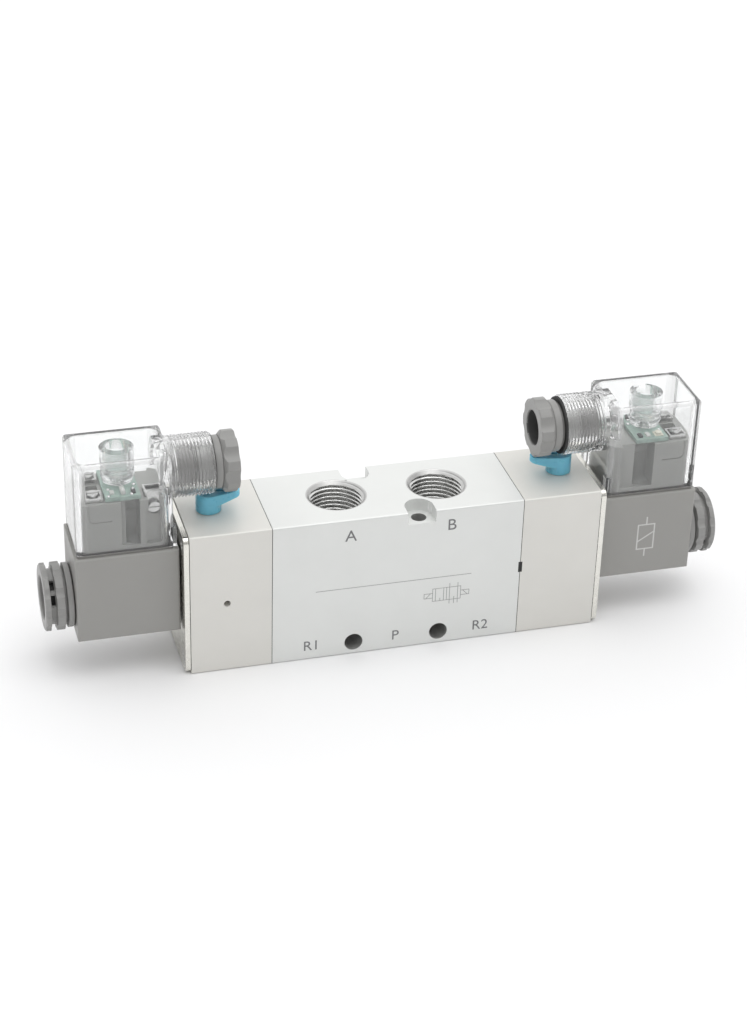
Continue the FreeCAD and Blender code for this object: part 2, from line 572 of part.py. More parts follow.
def connector_insert(side):
    """Moulded terminal carrier: recesses, a wire channel, clamp pockets and one between two clamps."""
    solid = block(INSERT_IN, INSERT_OUT, -INSERT_HALF_W, INSERT_HALF_W, INSERT_Z0, INSERT_Z1)
    solid = solid.makeFillet(INSERT_ROUND, [e for e in solid.Edges if is_along(e, AXIS_Z)])
    spaces = [along_z(1.6, INSERT_Z0, INSERT_Z1, SCREW_X)]
    for s, recess in RECESS_X.items():
        spaces += [flank(s, *recess[depth], RECESS_Y[depth], RECESS_Z0, INSERT_Z1)
                   for depth in RECESS_Y]
        spaces.append(flank(s, *recess["deep"], RECESS_Y["deep"] - PARTING_DEPTH, PARTING_Z,
                            PARTING_Z + PARTING_DEPTH))
        spaces += parting_groove(s, recess["shallow"][1] + PARTING_MARGIN)
    spaces.append(flank(1, *CHANNEL, CHANNEL_Y, CHANNEL_Z0, CHANNEL_Z1))
    spaces.append(block(*POCKET_X, -POCKET_HALF_W, POCKET_HALF_W, POCKET_Z0, INSERT_Z1))
    for x, y in BLADES:
        spaces.append(blade(x, y, 0.1, INSERT_Z0, CAGE_Z0))
        spaces.append(cage_box(x, y, 0.1))
    clamp_x, clamp_y = BLADES[2]
    spaces.append(block(clamp_x - 1.9, clamp_x + 1.9, clamp_y, INSERT_HALF_W, 53.2, INSERT_Z1))
    spaces.append(along_y(1.9, clamp_y, INSERT_HALF_W, clamp_x, 53.2))
    end_cut = along_x(NECK_R + 0.2, INSERT_IN, INSERT_IN + 0.4, 0, GLAND_Z)
    return cut_all(solid, spaces + [end_cut])


def slotted_screw(x, y, z, radius, length, direction):
    """A small slotted clamp screw whose head faces along direction, with its top at x, y, z."""
    head_h = 1.1
    top = V(x, y, z)
    head = Part.makeCylinder(radius, head_h, top - direction * head_h, direction)
    shank = Part.makeCylinder(radius * 0.55, length, top - direction * length, direction)
    slot = block(-radius, radius, -0.25, 0.25, -0.5, 0.5)
    if direction == AXIS_Y:
        slot.rotate(V(0, 0, 0), AXIS_X, 90)
    slot.translate(top)
    return join([head, shank]).cut(slot)


def terminal_clamps(side):
    """Three sheet-metal cages: two with screws facing up, one with its screw facing sideways."""
    clamps = []
    for k, (x, y) in enumerate(BLADES):
        cage = block(x - CAGE_X / 2, x + CAGE_X / 2, y - CAGE_Y / 2, y + CAGE_Y / 2,
                     CAGE_Z0, CAGE_Z1)
        w = CAGE_WALL
        hollow = block(x - CAGE_X / 2 + w, x + CAGE_X / 2 - w, y - CAGE_Y / 2 + w,
                       y + CAGE_Y / 2 - w, CAGE_Z0 + w, CAGE_Z1 + 1)
        if k < 2:
            screw = slotted_screw(x, y, CAGE_Z1 + 0.6, 1.7, 4.5, AXIS_Z)
        else:
            screw = slotted_screw(x, y + 3.6, 54.0, 1.6, 4.5, AXIS_Y)
        bridge = block(x - CAGE_X / 2, x + CAGE_X / 2, y - 0.9, y + 0.9, CAGE_Z1 - 1.4, CAGE_Z1 - 0.8)
        clamps.append(join([cage.cut(hollow), bridge, screw]))
    return Part.makeCompound(clamps)


def led_board(side):
    x0, x1, y0, y1, z0, z1 = BOARD
    board = block(x0, x1, y0, y1, z0, z1)
    board = board.cut(along_z(1.8, z0, z1, SCREW_X))
    led = join([along_z(1.0, z1, z1 + 0.9, 81.3, -5.8), block(80.0, 82.6, -7.1, -4.5, z1, z1 + 0.3)])
    chips = [block(x, x + 1.2, y, y + 2.0, z1, z1 + 0.5) for x, y in
             ((75.0, -7.0), (77.4, -7.0), (75.0, 5.0), (81.0, 4.6))]
    diode = along_y(0.7, 3.8, 7.2, 78.6, z1 + 0.7)
    return join([board, led, diode.fuse(block(78.2, 79.0, 4.0, 7.0, z1, z1 + 0.7))] + chips)


def connector_screw(side):
    head_z0, head_z1, head_r = BOSS_FLOOR + 0.05, BOSS_FLOOR + 2.2, 2.75
    head = along_z(head_r, head_z0, head_z1, SCREW_X)
    head = head.makeChamfer(0.3, [e for e in head.Edges if e.BoundBox.ZMin > head_z1 - 0.1])
    shank = along_z(SHANK_R, SHANK_Z0, head_z0 + 0.5, SCREW_X)
    slots = [block(SCREW_X - 1.9, SCREW_X + 1.9, -0.4, 0.4, head_z1 - 1.0, head_z1),
             block(SCREW_X - 0.4, SCREW_X + 0.4, -1.9, 1.9, head_z1 - 1.0, head_z1)]
    return cut_all(join([head, shank]), slots)


# ---------------------------------------------------------------- cable gland

def lobed_outline(x, turn):
    """The outline of the nut's head: rounded lobes with a shallow flute between each two."""
    step, half = math.radians(360 / HEAD_LOBES), math.radians(LOBE_HALF_ANGLE)

    def at(radius, angle):
        return V(x, radius * math.cos(angle), GLAND_Z + radius * math.sin(angle))

    edges = []
    for k in range(HEAD_LOBES):
        a = math.radians(turn) + k * step
        edges += [
            Part.Arc(at(LOBE_R, a - half), at(LOBE_R, a), at(LOBE_R, a + half)).toShape(),
            Part.Arc(at(LOBE_R, a + half), at(FLUTE_R, a + step / 2),
                     at(LOBE_R, a + step - half)).toShape(),
        ]
    return Part.Wire(edges)


def gland_nut(side):
    """Pressing nut: the lobed head is outermost, then a round collar and the threaded shank."""
    collar_x1 = NECK_END - GLAND_GAP[side]
    head_x1 = collar_x1 - COLLAR_LEN
    head_x0 = head_x1 - HEAD_LEN
    head = Part.Face(lobed_outline(head_x0, HEAD_TURN[side])).extrude(V(HEAD_LEN, 0, 0))
    dome = lathe_x([(head_x0, 0), (head_x0, LOBE_R - HEAD_BEVEL), (head_x0 + HEAD_BEVEL, LOBE_R),
                    (head_x1 - HEAD_SLOPE, LOBE_R), (head_x1, COLLAR_R), (head_x1, 0)], GLAND_Z)
    collar = lathe_x([(head_x1, 0), (head_x1, COLLAR_R - 0.3), (head_x1 + 0.3, COLLAR_R),
                      (collar_x1, COLLAR_R), (collar_x1, 0)], GLAND_Z)
    shank = along_x(NECK_BORE_R - 0.08, collar_x1 - 0.5, SHANK_END, 0, GLAND_Z)
    solid = join([head.common(dome), collar, shank])
    bore = lathe_x([(head_x0, 0), (head_x0, GLAND_BORE_R + 0.4), (head_x0 + 0.4, GLAND_BORE_R),
                    (SHANK_END, GLAND_BORE_R), (SHANK_END, 0)], GLAND_Z)
    return solid.cut(bore)


def gland_washer(side):
    thickness = min(WASHER_LEN, GLAND_GAP[side] - FIT)
    return ring_x(NECK_BORE_R + 0.1, WASHER_R, NECK_END - thickness, NECK_END, GLAND_Z)


def gland_grommet(side):
    x0, x1 = SHANK_END + 0.1, GROMMET_END
    return lathe_x([(x0, GROMMET_BORE_R + 0.8), (x0, 6.2), (x0 + 1.2, NECK_BORE_R),
                    (x1 - 0.8, NECK_BORE_R), (x1, 6.2), (x1, GROMMET_BORE_R),
                    (x0 + 0.8, GROMMET_BORE_R)], GLAND_Z)


# ---------------------------------------------------------------- the whole valve

def turned(shape, degrees):
    return shape.rotated(V(0, 0, 0), AXIS_Z, degrees) if degrees else shape


SIDE_PIECES = (
    body_gasket, end_block, piston, piston_seal, plate_gasket, end_plate, plate_screws,
    override_lever, lever_seal, armature_tube, tube_seal, plunger, plunger_spring,
    coil_case, coil_yoke, coil_bobbin, coil_winding, coil_terminals, coil_nut,
    connector_gasket, connector_cap, connector_insert, terminal_clamps, led_board,
    connector_screw, gland_nut, gland_washer, gland_grommet,
)


def main():
    os.makedirs("parts", exist_ok=True)
    nodes = {make.__name__: make() for make in (valve_body, spool, spool_seals)}
    for side, degrees in SIDES.items():
        for make in SIDE_PIECES:
            nodes[side + "_" + make.__name__] = turned(make(side), degrees)
    for name, shape in nodes.items():
        solids = shape.Solids
        if not solids or not shape.isValid():
            raise SystemExit("bad shape: " + name)
        whole = solids[0] if len(solids) == 1 else Part.makeCompound(solids)
        whole.exportStep("parts/" + name + ".step")
        print(name, len(solids), "solid(s)", round(whole.Volume, 1), "mm3")


main()
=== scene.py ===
"""The looks of a double-solenoid 5/2 directional valve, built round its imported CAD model."""
import json
import math

import bmesh
import bpy
from mathutils import Matrix, Vector


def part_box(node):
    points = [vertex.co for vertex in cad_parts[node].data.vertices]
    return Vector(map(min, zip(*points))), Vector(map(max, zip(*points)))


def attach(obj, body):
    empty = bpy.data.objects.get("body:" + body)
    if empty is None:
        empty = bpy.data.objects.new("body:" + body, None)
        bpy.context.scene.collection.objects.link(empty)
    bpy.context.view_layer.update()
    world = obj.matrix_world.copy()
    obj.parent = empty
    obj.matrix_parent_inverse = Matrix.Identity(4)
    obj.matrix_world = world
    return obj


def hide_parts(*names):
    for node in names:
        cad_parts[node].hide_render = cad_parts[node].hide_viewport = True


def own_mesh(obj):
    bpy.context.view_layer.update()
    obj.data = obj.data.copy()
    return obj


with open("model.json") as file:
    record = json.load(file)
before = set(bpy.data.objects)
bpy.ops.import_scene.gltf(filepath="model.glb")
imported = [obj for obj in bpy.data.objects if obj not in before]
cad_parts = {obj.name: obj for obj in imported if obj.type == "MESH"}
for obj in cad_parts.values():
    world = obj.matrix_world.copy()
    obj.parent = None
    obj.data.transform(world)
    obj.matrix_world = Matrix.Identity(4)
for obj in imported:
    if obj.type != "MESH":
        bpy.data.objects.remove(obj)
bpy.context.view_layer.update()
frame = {"nodes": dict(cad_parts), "record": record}

MM = 0.001
SIDES = {"left": -1, "right": 1}
BODY_OF = {n: b for b, ns in frame["record"]["behaviour"]["bodies"].items() for n in ns}
SLOT_OF = {s["node"]: s["material_slot"] for s in frame["record"]["subparts"]}
MOUNTS = {m["name"]: m for m in frame["record"]["mounts"]}

# G 3/8 thread of the ports: pitch, major radius, steps to a turn, and its stop before the end. The
# minor radius comes from the record's port mounts
G38_PITCH, G38_MAJOR_R, G38_STEPS, G38_STOP = 1.337, 16.66 / 2, 20, 1.0
# Sleeve that carries a port's thread, how far its seat is cut past the face, and its countersink
SLEEVE_R, SEAT_OVER, MOUTH_R, MOUTH_DEPTH, MOUTH_MARGIN = 9.0, 0.4, 8.65, 1.2, 0.1
# M 18 x 1 thread on the clear neck of the cable gland: its length, steps to a turn and run-out
NECK_R, NECK_BORE_R = 9.0, 7.0
NECK_PITCH, NECK_DEPTH, NECK_THREAD, NECK_STEPS, NECK_RUNOUT = 1.0, 0.42, 11.7, 16, 0.5
RIM_DEPTH, RIM_LENGTH = 0.35, 0.4
# The mould's two parting lines, which join the crests of that thread
SEAM_ANGLES, SEAM_HALF_W, SEAM_FADE = (20, 160), 0.22, 0.2
CAP_LENGTH, CAP_WALL, CAP_SHARP = 27.8, 1.0, math.radians(35)
# Cutter for the CAD cap's plain neck: past its end, short of the wall, half its width, its heights
CUT_PAST, CUT_SHORT, CUT_HALF_W, CUT_Z = 1.0, 0.81, 12.0, (40.0, 72.0)
# Rings moulded on the screw boss inside the clear cap: their sleeve reaches into the boss
BOSS_R, BOSS_RING_R, BOSS_PITCH, BOSS_RING_Z = 4.4, 4.85, 1.75, (60.3, 65.5)
BOSS_SUNK, BOSS_SLEEVE, BOSS_ROUND, BOSS_STEPS, BOSS_MARGIN = 0.1, 0.6, 0.6, 36, 0.1
# Clear band under the cap's roof, where the boss has none of the paler, milkier plastic of its painted
# light
ROOF_BAND = 1.5
# Mounting holes: where the top ones lie, and how a face is known to be the wall of one
TOP_HOLE_X, TOP_HOLE_Y = 6.65, -11.35
DRILL_MARGIN, WALL_TILT = 0.05, 0.1
# A capital's share of its font's size, and how far printing stands out of a face or goes into it
CAPITAL_SHARE, TEXT_RELIEF, LINE_RELIEF, LINE_SUNK = 0.73, 0.015, 0.02, 0.01
# Each printed stroke is a little thicker than the one before, so that crossing ones share no face
STROKE_STEP = 0.0001
# Port letters on the front: x, z and the height of a capital
PORT_MARKS = {"A": (-14.5, 40.6, 3.8), "B": (15.75, 40.5, 3.8),
              "R1": (-25.8, 4.6, 3.4), "P": (-0.3, 4.6, 3.4), "R2": (26.0, 4.5, 3.4)}
RULE_X, RULE_Z, RULE_WIDTH = (-24.6, 22.4), 23.1, 0.18
SYMBOL_X, SYMBOL_Z, SYMBOL_WIDTH = 15.1, 14.9, 0.16
COIL_SYMBOL_Z, COIL_SYMBOL_WIDTH = 26.0, 0.42
# Edges of the copies of CAD nodes, rounded by these widths
BODY_EASED = 0.4
EASED = {
    "end_plate": 0.3, "end_block": 0.4, "coil_case": 0.3, "coil_nut": 0.25, "gland_nut": 0.2,
    "connector_insert": 0.2, "plate_screws": 0.1, "override_lever": 0.4, "connector_screw": 0.1,
    "terminal_clamps": 0.1,
}
# Radius below which the inside of a nut is painted near-black, as painted shade
BORES = {"gland_nut": 5.3, "coil_nut": 6.0}
# Dark sleeve inside the coil nut, painted shade seen through its windows: its radii and its distances
# from the end
SHADE_SLEEVE_R, SHADE_SLEEVE_BORE_R, SHADE_SLEEVE_FROM_END = 6.38, 6.2, (1.5, 3.6)
# Lamp board, on the right side: height of its parts, the lamp's corner, and the dark parts' far edge
BOARD_PARTS, LAMP_X, LAMP_Y, DARK_X = 1.35, 79.9, -4.0, 76.5
# Solder: x, y and radius of each dome, its rise, and the board's face below the box's top
SOLDER_SPOTS = ((75.6, -4.6, 0.55), (77.9, -4.4, 0.5), (75.5, 4.2, 0.55), (82.3, 3.6, 0.6),
                (82.6, -3.2, 0.5), (74.8, 1.9, 0.6), (82.7, 7.3, 0.5), (76.2, 7.2, 0.6))
SOLDER_RISE, SOLDER_DROP, SOLDER_COLUMNS, SOLDER_ROWS = 0.7, 1.4, 12, 5
# Studio: the sky's strength, its lean in degrees and its grey levels; the sun's strength, spread
# and direction
SKY_STRENGTH, SKY_LEAN, SKY_LEVELS = 1.09, (24, -5), ((0.0, 0.4), (0.8, 1.0))
SUN_STRENGTH, SUN_SPREAD, SUN_WAY = 0.77, 50, (-0.15, 0.15, -1.0)
FLOOR_HALF, LIGHT_BOUNCES = 3000, 32
# Angles above which an edge is sharp, and above which it is rounded
SHARP, OUTER_EDGE = math.radians(50), math.radians(30)
# Faces whose normal is nearer than this to an axis are flat walls
FLAT_FACE = 0.998


# ---------------------------------------------------------------- mesh helpers

def new_object(name, mesh):
    piece = bpy.data.objects.new(name, mesh)
    bpy.context.scene.collection.objects.link(piece)
    return piece


def shade(piece, angle=SHARP):
    """Smooth shading up to an angle, with large faces kept flat where they meet a rounding."""
    piece.data.shade_smooth()
    piece.data.set_sharp_from_angle(angle=angle)
    even = piece.modifiers.new("even", "WEIGHTED_NORMAL")
    even.keep_sharp, even.weight = True, 80
    return apply_modifiers(piece)


def mesh_from(name, points, faces):
    """A mesh object from points in millimetres."""
    mesh = bpy.data.meshes.new(name)
    mesh.from_pydata([Vector(p) * MM for p in points], [], faces)
    mesh.validate()
    return new_object(name, mesh)


def tidy_mesh(mesh, merge=0.002, flat=math.radians(0.6)):
    """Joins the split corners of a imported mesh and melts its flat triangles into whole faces."""
    bm = bmesh.new()
    bm.from_mesh(mesh)
    bmesh.ops.remove_doubles(bm, verts=bm.verts, dist=merge * MM)
    bmesh.ops.dissolve_limit(bm, angle_limit=flat, verts=bm.verts, edges=bm.edges)
    bm.normal_update()
    bm.to_mesh(mesh)
    bm.free()
    return mesh


def copy_of(node, name):
    """A loose copy of a CAD node to work on, in the same place."""
    mesh = frame["nodes"][node].data.copy()
    mesh.materials.clear()
    mesh.name = name
    return new_object(name, tidy_mesh(mesh))


def apply_modifiers(piece):
    graph = bpy.context.evaluated_depsgraph_get()
    made = bpy.data.meshes.new_from_object(piece.evaluated_get(graph))
    piece.modifiers.clear()
    old, piece.data = piece.data, made
    made.name = piece.name
    bpy.data.meshes.remove(old)
    return piece


def combine(piece, other, how):
    """Boolean of two pieces; the second one is used up."""
    cut = piece.modifiers.new(how, "BOOLEAN")
    cut.operation, cut.solver, cut.object = how, "EXACT", other
    apply_modifiers(piece)
    bpy.data.objects.remove(other)
    return piece


def ease(piece, width, inner=0.4, segments=3):
    """Rounds the sharp outward edges: by width millimetres where the piece's own box has an edge,
    and by inner of that elsewhere."""
    corners = [Vector(c) for c in piece.bound_box]
    low, high = corners[0], corners[6]
    touching = 0.001 * MM
    bm = bmesh.new()
    bm.from_mesh(piece.data)
    weight = bm.edges.layers.float.new("bevel_weight_edge")
    for edge in bm.edges:
        if len(edge.link_faces) != 2 or edge.calc_face_angle_signed() < OUTER_EDGE:
            continue
        sides = sum(all(abs(v.co[k] - bound[k]) < touching for v in edge.verts)
                    for k in range(3) for bound in (low, high))
        edge[weight] = 1.0 if sides >= 2 else inner
    bm.to_mesh(piece.data)
    bm.free()
    edge = piece.modifiers.new("ease", "BEVEL")
    edge.width, edge.segments, edge.limit_method = width * MM, segments, "WEIGHT"
    edge.use_clamp_overlap = True
    return apply_modifiers(piece)


def stands_for(piece, node, material=None):
    """piece takes the place of a CAD node: its body and its finish."""
    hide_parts(node)
    goes_with(piece, node, material)
    return piece


def goes_with(piece, node, material=None):
    """piece is an extra that moves with a CAD node's body and takes its finish, unless another is given.
    """
    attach(piece, BODY_OF[node])
    piece.data.materials.clear()
    piece.data.materials.append(material or finish_of(node))
    return piece


def share(value):
    """value, kept between 0 and 1."""
    return min(1.0, max(0.0, value))


def closed_ring(name, rings, columns, place):
    """A solid ring: rings is a closed loop of heights, each with its radius function, and place
    turns a height, an angle and a radius into a point."""
    points, faces = [], []
    for height, radius in rings:
        for k in range(columns):
            angle = 2 * math.pi * k / columns
            points.append(place(height, angle, radius(height, angle)))
    count = len(rings)
    for i in range(count):
        for k in range(columns):
            a, b = i * columns + k, i * columns + (k + 1) % columns
            c, d = (i + 1) % count * columns + (k + 1) % columns, (i + 1) % count * columns + k
            faces.append((a, b, c, d))
    piece = mesh_from(name, points, faces)
    bm = bmesh.new()
    bm.from_mesh(piece.data)
    bmesh.ops.recalc_face_normals(bm, faces=bm.faces)
    bm.to_mesh(piece.data)
    bm.free()
    return piece


# ---------------------------------------------------------------- material helpers

class Finish:
    """A node-based material: a Principled shader with helpers for what drives it."""

    def __init__(self, name, colour, roughness, metallic=0.0):
        self.material = bpy.data.materials.new(name)
        self.material.use_nodes = True
        self.tree = self.material.node_tree
        self.shader = self.tree.nodes["Principled BSDF"]
        self.set("Base Color", (*colour, 1.0))
        self.set("Roughness", roughness)
        self.set("Metallic", metallic)
        self.coordinates = self.tree.nodes.new("ShaderNodeTexCoord")

    def set(self, socket, value):
        """A uniform value on the shader's own socket."""
        self.shader.inputs[socket].default_value = value

    def node(self, kind, **values):
        """A new shader node, with values for its inputs or its settings."""
        made = self.tree.nodes.new(kind)
        for name, value in values.items():
            if name in made.inputs:
                made.inputs[name].default_value = value
            else:
                setattr(made, name, value)
        return made

    def link(self, a, b):
        self.tree.links.new(a, b)

    def noise(self, per_mm, detail=3.0, rough=0.55, stretch=(1, 1, 1), distortion=0.0):
        """Noise with about per_mm features to the millimetre, stretched along an axis."""
        mapping = self.node("ShaderNodeMapping")
        mapping.inputs["Scale"].default_value = [per_mm / MM * s for s in stretch]
        self.link(self.coordinates.outputs["Object"], mapping.inputs["Vector"])
        made = self.node("ShaderNodeTexNoise", Scale=1.0, Detail=detail, Roughness=rough,
                         Distortion=distortion)
        self.link(mapping.outputs["Vector"], made.inputs["Vector"])
        return made.outputs["Fac"]

    def ramp(self, source, stops):
        """Maps 0..1 through (position, value) stops to a grey value."""
        made = self.node("ShaderNodeValToRGB")
        ramp = made.color_ramp
        while len(ramp.elements) < len(stops):
            ramp.elements.new(0.5)
        for element, (at, value) in zip(ramp.elements, stops):
            element.position = at
            element.color = (value, value, value, 1)
        self.link(source, made.inputs["Fac"])
        return made.outputs["Color"]

    def tint(self, mask, colour):
        """Blends the base colour towards colour where the mask is 1."""
        mix = self.node("ShaderNodeMixRGB", Color2=(*colour, 1))
        before = self.shader.inputs["Base Color"]
        mix.inputs["Color1"].default_value = before.default_value
        if before.is_linked:
            self.link(before.links[0].from_socket, mix.inputs["Color1"])
        self.link(mask, mix.inputs["Fac"])
        self.link(mix.outputs["Color"], before)

    def vary_roughness(self, source, low, high):
        """Roughness from low to high over the middle of a noise, where most of it lies."""
        spread = self.node("ShaderNodeMapRange")
        spread.inputs["From Min"].default_value, spread.inputs["From Max"].default_value = 0.3, 0.7
        spread.inputs["To Min"].default_value, spread.inputs["To Max"].default_value = low, high
        self.link(source, spread.inputs["Value"])
        self.link(spread.outputs["Result"], self.shader.inputs["Roughness"])

    def bump(self, source, depth_mm, strength=1.0):
        """Adds relief of depth_mm from a grey source."""
        made = self.node("ShaderNodeBump", Strength=strength, Distance=depth_mm * MM)
        self.link(source, made.inputs["Height"])
        normal = self.shader.inputs["Normal"]
        if normal.is_linked:
            self.link(normal.links[0].from_socket, made.inputs["Normal"])
        self.link(made.outputs["Normal"], normal)


def blasted_alloy(name, colour, roughness=0.42, metallic=0.35):
    """Fine-blasted, clear-anodised aluminium with faint clouds and handling marks."""
    f = Finish(name, colour, roughness, metallic)
    f.vary_roughness(f.noise(0.12, 4, 0.6), roughness - 0.05, roughness + 0.07)
    darker = tuple(c * 0.93 for c in colour)
    f.tint(f.ramp(f.noise(0.05, 5, 0.6), ((0.35, 0.0), (0.75, 0.5))), darker)
    f.tint(f.ramp(f.noise(9.0, 2, 0.6), ((0.45, 0.0), (0.8, 0.25))), tuple(c * 0.86 for c in colour))
    f.bump(f.noise(7.0, 3, 0.65), 0.012)
    return f.material


def turned_metal(name, colour, roughness=0.28, rings=(1, 1, 1)):
    """Bare metal with fine lines left by the tool."""
    f = Finish(name, colour, roughness, 1.0)
    lines = f.noise(2.5, 3, 0.6, rings)
    f.vary_roughness(lines, roughness - 0.08, roughness + 0.1)
    f.tint(f.ramp(f.noise(0.4, 4, 0.6), ((0.4, 0.0), (0.8, 0.4))), tuple(c * 0.8 for c in colour))
    f.bump(lines, 0.006)
    return f.material


def freshly_cut(name, colour):
    """Bright bare metal in a tapped hole."""
    f = Finish(name, colour, 0.2, 1.0)
    f.vary_roughness(f.noise(0.8, 3, 0.6), 0.14, 0.28)
    f.tint(f.ramp(f.noise(0.5, 4, 0.6), ((0.45, 0.0), (0.8, 0.5))), tuple(c * 0.7 for c in colour))
    f.bump(f.noise(1.5, 2, 0.5), 0.002)
    return f.material


def moulded_plastic(name, colour, roughness=0.42, grain_mm=0.01, speck=0.85):
    """Spark-eroded moulding: even colour with a fine matt grain and faint flow marks."""
    f = Finish(name, colour, roughness)
    f.set("Specular IOR Level", 0.45)
    f.vary_roughness(f.noise(0.25, 4, 0.6), roughness - 0.06, roughness + 0.08)
    f.tint(f.ramp(f.noise(0.07, 4, 0.6), ((0.3, 0.0), (0.75, 0.6))), tuple(c * 0.93 for c in colour))
    f.tint(f.ramp(f.noise(5.0, 2, 0.5), ((0.55, 0.0), (0.8, 0.5))), tuple(c * speck for c in colour))
    f.bump(f.noise(4.5, 3, 0.6), grain_mm)
    return f.material


def rubber(name, colour):
    """Dull rubber with a paler bloom in patches."""
    f = Finish(name, colour, 0.6)
    f.vary_roughness(f.noise(0.8, 3), 0.5, 0.72)
    f.tint(f.ramp(f.noise(3.0, 3), ((0.5, 0.0), (0.8, 0.5))), tuple(min(1, c * 2 + 0.01) for c in colour))
    f.bump(f.noise(3.0, 3), 0.01)
    return f.material


def clear_plastic(name, colour, roughness, ior, clear):
    """See-through plastic with a little milkiness, more where clear is lower. Light from lamps
    passes it straight, so what is inside stays lit."""
    f = Finish(name, colour, roughness)
    f.set("IOR", ior)
    f.set("Transmission Weight", clear)
    f.bump(f.noise(0.35, 2, 0.5), 0.006)
    path = f.node("ShaderNodeLightPath")
    window = f.node("ShaderNodeBsdfTransparent", Color=(0.93, 0.94, 0.94, 1))
    mix = f.node("ShaderNodeMixShader")
    f.link(path.outputs["Is Shadow Ray"], mix.inputs["Fac"])
    f.link(f.shader.outputs["BSDF"], mix.inputs[1])
    f.link(window.outputs["BSDF"], mix.inputs[2])
    f.link(mix.outputs["Shader"], f.tree.nodes["Material Output"].inputs["Surface"])
    return f.material


def lever_plastic(name, colour):
    """Sky-blue nylon that lets some light into its thin parts."""
    f = Finish(name, colour, 0.3)
    f.set("Subsurface Weight", 0.6)
    f.set("Subsurface Radius", (0.5, 1.0, 1.2))
    f.set("Subsurface Scale", 2.0 * MM)
    f.vary_roughness(f.noise(0.5, 4), 0.22, 0.4)
    f.tint(f.ramp(f.noise(0.3, 4), ((0.4, 0.0), (0.8, 0.5))), tuple(c * 0.85 for c in colour))
    f.bump(f.noise(1.2, 3), 0.02)
    return f.material


def circuit_board(name, colour):
    """Pale green solder mask with darker tracks under it."""
    f = Finish(name, colour, 0.35)
    f.tint(f.ramp(f.noise(0.6, 1, 0.3, (1, 3, 1)), ((0.5, 0.0), (0.53, 0.7))),
           tuple(c * 0.75 for c in colour))
    f.vary_roughness(f.noise(1.0, 3), 0.25, 0.45)
    f.bump(f.noise(0.6, 1, 0.3, (1, 3, 1)), 0.02)
    return f.material


def wound_wire(name, colour):
    """Turns of enamelled wire lying side by side round the X axis."""
    f = Finish(name, colour, 0.3, 1.0)
    wave = f.node("ShaderNodeTexWave", Scale=4.0 / MM, Distortion=0.4, Detail=1.0)
    f.link(f.coordinates.outputs["Object"], wave.inputs["Vector"])
    f.bump(wave.outputs["Fac"], 0.05)
    # The grooves between the turns are painted darker: painted shade between the wires
    f.tint(f.ramp(wave.outputs["Fac"], ((0.2, 0.8), (0.5, 0.0))), tuple(c * 0.4 for c in colour))
    return f.material


FINISHES = {
    "body_alloy": blasted_alloy("body_alloy", (0.795, 0.806, 0.79)),
    "block_alloy": blasted_alloy("block_alloy", (0.767, 0.756, 0.718), 0.46, 0.25),
    "plate_steel": turned_metal("plate_steel", (0.80, 0.79, 0.74), 0.24, (1, 0.05, 1)),
    "screw_steel": turned_metal("screw_steel", (0.72, 0.72, 0.70), 0.26),
    # The tube's steel is made dark grey, darker than bare steel: painted shade for the tube inside the
    # coil nut
    "tube_steel": turned_metal("tube_steel", (0.3, 0.3, 0.3), 0.34, (1, 0.1, 0.1)),
    "yoke_steel": turned_metal("yoke_steel", (0.5, 0.5, 0.5), 0.4),
    "clamp_steel": turned_metal("clamp_steel", (0.58, 0.58, 0.57), 0.2),
    "spool_alloy": turned_metal("spool_alloy", (0.75, 0.76, 0.77), 0.25, (1, 0.1, 0.1)),
    "copper": wound_wire("copper", (0.72, 0.42, 0.26)),
    "blade_brass": turned_metal("blade_brass", (0.74, 0.72, 0.66), 0.3),
    "coil_plastic": moulded_plastic("coil_plastic", (0.345, 0.34, 0.325), 0.42),
    "nut_plastic": moulded_plastic("nut_plastic", (0.31, 0.308, 0.30), 0.38),
    "insert_plastic": moulded_plastic("insert_plastic", (0.365, 0.365, 0.35), 0.42),
    "bobbin_plastic": moulded_plastic("bobbin_plastic", (0.62, 0.58, 0.48), 0.45),
    "piston_plastic": moulded_plastic("piston_plastic", (0.8, 0.78, 0.72), 0.4),
    "gasket_grey": rubber("gasket_grey", (0.2, 0.195, 0.185)),
    "seal_rubber": rubber("seal_rubber", (0.02, 0.02, 0.02)),
    "cap_clear": clear_plastic("cap_clear", (0.97, 0.975, 0.975), 0.02, 1.42, 0.965),
    "lever_plastic": lever_plastic("lever_plastic", (0.19, 0.56, 0.73)),
    "board_green": circuit_board("board_green", (0.33, 0.44, 0.39)),
}
# Paler, milkier plastic on the cap's rounded and slanted faces: painted light on its edges
CAP_EDGE_LIGHT = clear_plastic("cap_edge_light", (0.88, 0.88, 0.88), 0.03, 1.42, 0.84)
NECK_CLEAR = clear_plastic("neck_clear", (0.99, 0.99, 0.99), 0.0, 1.55, 0.96)
# Paler, milkier plastic on the screw boss: painted light
BOSS_LIGHT = clear_plastic("boss_light", (0.95, 0.96, 0.96), 0.05, 1.5, 0.91)
THREAD_CUT = freshly_cut("thread_cut", (0.80, 0.80, 0.79))
INK = moulded_plastic("grey_ink", (0.2, 0.2, 0.205), 0.6, 0.002)
FAINT_INK = moulded_plastic("faint_ink", (0.33, 0.33, 0.33), 0.6, 0.002)
PALE_INK = moulded_plastic("pale_ink", (0.62, 0.62, 0.61), 0.6, 0.002)
LED_LENS = moulded_plastic("led_lens", (0.75, 0.72, 0.62), 0.25, 0.002)
CHIP_BLACK = moulded_plastic("chip_black", (0.03, 0.03, 0.032), 0.4, 0.004)
CHIP_WHITE = moulded_plastic("chip_white", (0.62, 0.62, 0.6), 0.35, 0.003)
SOLDER = freshly_cut("solder", (0.78, 0.78, 0.78))
